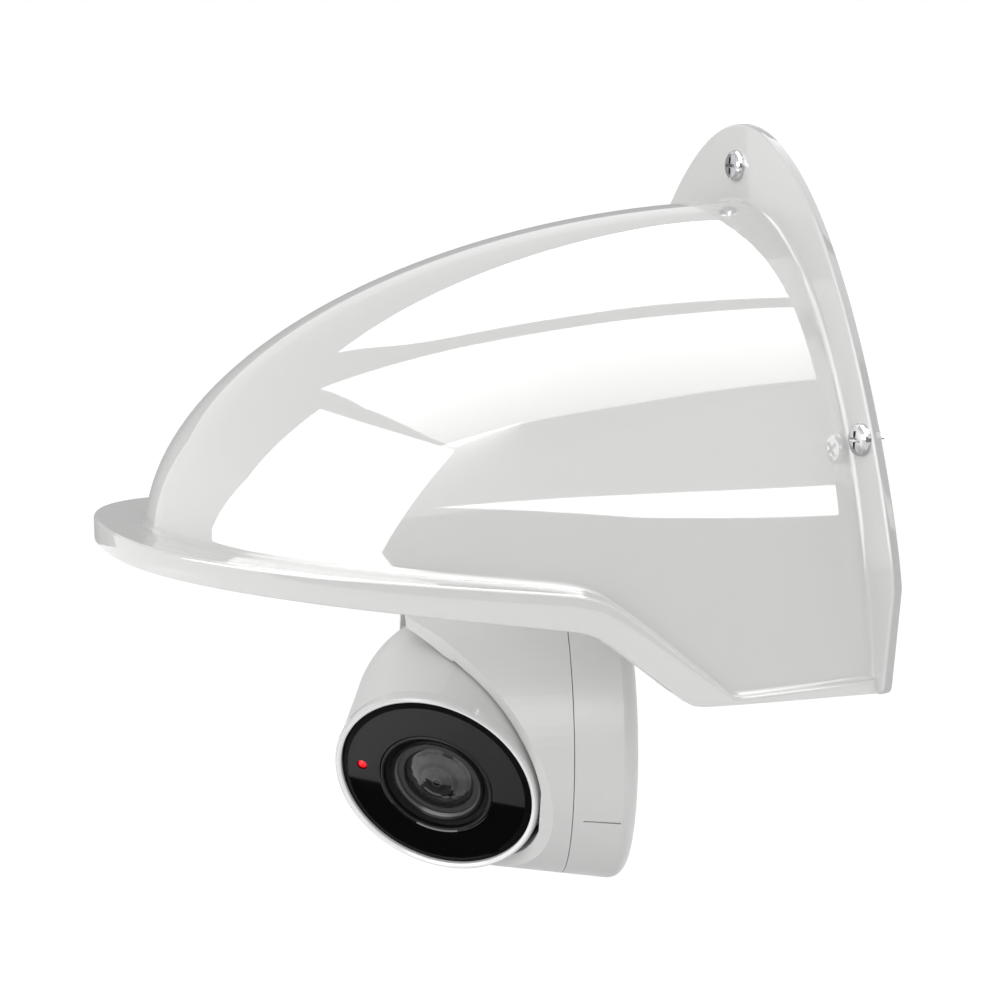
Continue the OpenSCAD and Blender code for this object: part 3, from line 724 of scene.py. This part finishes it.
def reflected_panels():
    """The four bright panels whose reflections lie on the dome."""
    far = smooth_line([(-0.40, -0.57), (-0.60, -0.19), (-0.79, 0.23), (-0.87, 0.60), (-0.76, 0.90)])
    near = smooth_line([(0.57, 0.87), (0.55, 0.47), (0.43, 0.06), (0.13, -0.34), (-0.40, -0.57)])
    softbox("softbox_top", [(x, y, OVERHEAD) for x, y in far + near[:-1]], PANEL_GLOW)
    far = smooth_line([(0.01, -0.80), (0.32, -0.37), (0.56, 0.06), (0.67, 0.49), (0.67, 0.90)])
    near = smooth_line([(1.41, 1.21), (1.53, 0.60), (1.53, 0.0), (1.62, -0.36)])
    near += [(1.37, -0.49), (1.01, -0.61), (0.62, -0.72)]
    softbox("softbox_side", [(x, y, OVERHEAD) for x, y in far + near], PANEL_GLOW,
            ((0.6, 0, 0), (1.7, 0, 0), 0.45))
    aim = Vector((0.466, -0.703, 0.537)).normalized()
    across = Vector((0, 0, 1)).cross(aim).normalized()
    upward = aim.cross(across)
    front = smooth_line([(-0.26, 0.565), (0.05, 0.455), (0.33, 0.385), (0.62, 0.345), (0.93, 0.325)])
    front += [(0.69, -0.68), (-1.16, -0.87), (-0.52, -0.06)]
    softbox("softbox_front", [aim * 1.4 + across * u + upward * v for u, v in front], PANEL_GLOW)
    strip = [(-0.49, 0.72), (1.06, 0.65), (1.06, 0.49), (0.44, 0.55)]
    softbox("softbox_strip", [(1.6, y, z) for y, z in strip], PANEL_GLOW)


def dark_cards():
    """Cards under the eyeball for the window, beyond the hood for its ledge, behind the
    camera for the dome's side, and on the floor to hold the turret's underside down."""
    low = [(-0.05, -0.53), (0.02, -0.44), (0.07, -0.38), (0.16, -0.27), (-0.03, -0.12), (-0.24, -0.38)]
    softbox("card_low", [(x, y, -0.55) for x, y in low], 0.02)
    far = [(-1.2, -0.5), (2.4, -0.5), (2.4, 0.75), (-1.2, 0.75)]
    softbox("card_far", [(-1.9, y, z) for y, z in far], 0.45)
    behind = [(-3.0, -0.55), (2.8, -0.55), (2.8, 1.1), (-3.0, 1.1)]
    softbox("card_camera", [(2.6, y, z) for y, z in behind], 0.3)
    under = [(-0.4, -0.5), (0.4, -0.5), (0.4, 0.25), (-0.4, 0.25)]
    softbox("card_floor", [(x, y, -0.57) for x, y in under], 0.45, seen_by=("diffuse",))


def soft_fills():
    middle = (0, -0.1, -0.1)
    fill_light("fill_low", (1.5, -0.9, -0.3), middle, 1.3, 1.8)
    fill_light("fill_front", (-0.3, -2.2, 0.05), middle, 1.3, 7.5)
    fill_light("fill_hood", (0.0, -0.15, -0.02), (0.04, -0.13, -0.125), 0.16, 0.055)


VIEW_TURN_DEG = 66.0
VIEW_LIFT_DEG = 10.5
VIEW_PLACE = (0.6874, -0.4115, 0.1096)


def aim_camera():
    data = bpy.data.cameras.new("camera")
    data.sensor_width = 36.0
    data.lens = 72.0
    data.clip_start, data.clip_end = 0.02, 40.0
    cam = bpy.data.objects.new("camera", data)
    turn, lift = math.radians(VIEW_TURN_DEG), math.radians(VIEW_LIFT_DEG)
    back = Vector((math.sin(turn) * math.cos(lift), -math.cos(turn) * math.cos(lift), math.sin(lift)))
    right = Vector((0, 0, 1)).cross(back).normalized()
    up = back.cross(right)
    facing = Matrix((right, up, back)).transposed()
    cam.matrix_world = Matrix.Translation(VIEW_PLACE) @ facing.to_4x4()
    bpy.context.scene.collection.objects.link(cam)
    bpy.context.scene.camera = cam
    view = bpy.context.scene.view_settings
    view.view_transform = "Standard"
    view.look = "None"


dress_nodes()
make_hood()
studio_cove()
studio_air()
reflected_panels()
dark_cards()
soft_fills()
aim_camera()
